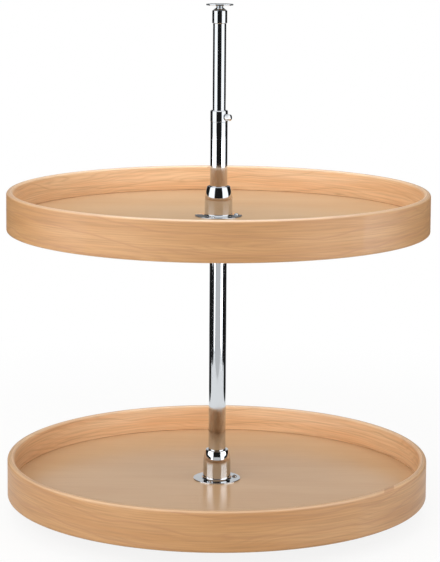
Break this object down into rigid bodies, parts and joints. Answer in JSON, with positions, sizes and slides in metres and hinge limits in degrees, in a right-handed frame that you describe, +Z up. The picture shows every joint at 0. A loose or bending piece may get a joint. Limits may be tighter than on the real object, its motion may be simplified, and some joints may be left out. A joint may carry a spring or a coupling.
{
  "type": "corner cabinet turntable",
  "caption": "Round bent-wood trays that turn by themselves on a chromed telescoping pole, for standing between the floor and ceiling of a kitchen corner cabinet.",
  "frame": {"origin": "on the cabinet floor, where the pole's axis meets the underside of the base plate", "axes": "+Z up along the pole's axis; -Y towards the viewer of the picture; +X to the picture's right"},
  "size_m": [0.6096, 0.6096, 0.74],
  "materials": {
    "chrome": "bright chrome plate",
    "zinc_steel": "zinc plate, satin",
    "bent_maple": "clear satin lacquer",
    "maple_plywood": "clear satin lacquer",
    "nylon": "natural, matte"
  },
  "bodies": {
    "base": {"base_plate": "zinc_steel", "base_socket": "zinc_steel", "base_set_screw": "zinc_steel", "lower_tube": "chrome", "tube_collar": "chrome"},
    "mast": {"inner_tube": "chrome", "tube_guide": "nylon", "pole_cap": "chrome"},
    "ceiling_plate": {"top_plate": "chrome", "pivot_pin": "zinc_steel"},
    "lock_screw": {"lock_screw": "chrome"},
    "lower_stop": {"lower_stop_collar": "zinc_steel", "lower_stop_screw": "zinc_steel", "lower_thrust_washer": "nylon"},
    "lower_tray": {"lower_floor": "maple_plywood", "lower_rim": "bent_maple", "lower_hub": "chrome", "lower_hub_bush": "nylon", "lower_hub_screws": "chrome"},
    "upper_stop": {"upper_stop_collar": "zinc_steel", "upper_stop_screw": "zinc_steel", "upper_thrust_washer": "nylon"},
    "upper_tray": {"upper_floor": "maple_plywood", "upper_rim": "bent_maple", "upper_hub": "chrome", "upper_hub_bush": "nylon", "upper_hub_screws": "chrome"}
  },
  "joints": [
    {"name": "lower_tray_height", "type": "slide", "parent": "base", "child": "lower_stop", "axis": [0, 0, 1], "range_m": [0, 0.1]},
    {"name": "lower_tray_spin", "type": "hinge", "parent": "lower_stop", "child": "lower_tray", "pos_m": [0, 0, 0.0465], "axis": [0, 0, 1], "continuous": true},
    {"name": "upper_tray_height", "type": "slide", "parent": "base", "child": "upper_stop", "axis": [0, 0, 1], "range_m": [-0.2, 0.09]},
    {"name": "upper_tray_spin", "type": "hinge", "parent": "upper_stop", "child": "upper_tray", "pos_m": [0, 0, 0.434], "axis": [0, 0, 1], "continuous": true},
    {"name": "pole_extend", "type": "slide", "parent": "base", "child": "mast", "axis": [0, 0, 1], "range_m": [-0.075, 0.052]},
    {"name": "top_plate_swivel", "type": "hinge", "parent": "mast", "child": "ceiling_plate", "pos_m": [0, 0, 0.735], "axis": [0, 0, 1], "continuous": true},
    {"name": "lock_screw_turn", "type": "hinge", "parent": "base", "child": "lock_screw", "pos_m": [0.01302, -0.01093, 0.578], "axis": [0.766, -0.6428, 0], "range_deg": [-540, 0]}
  ]
}
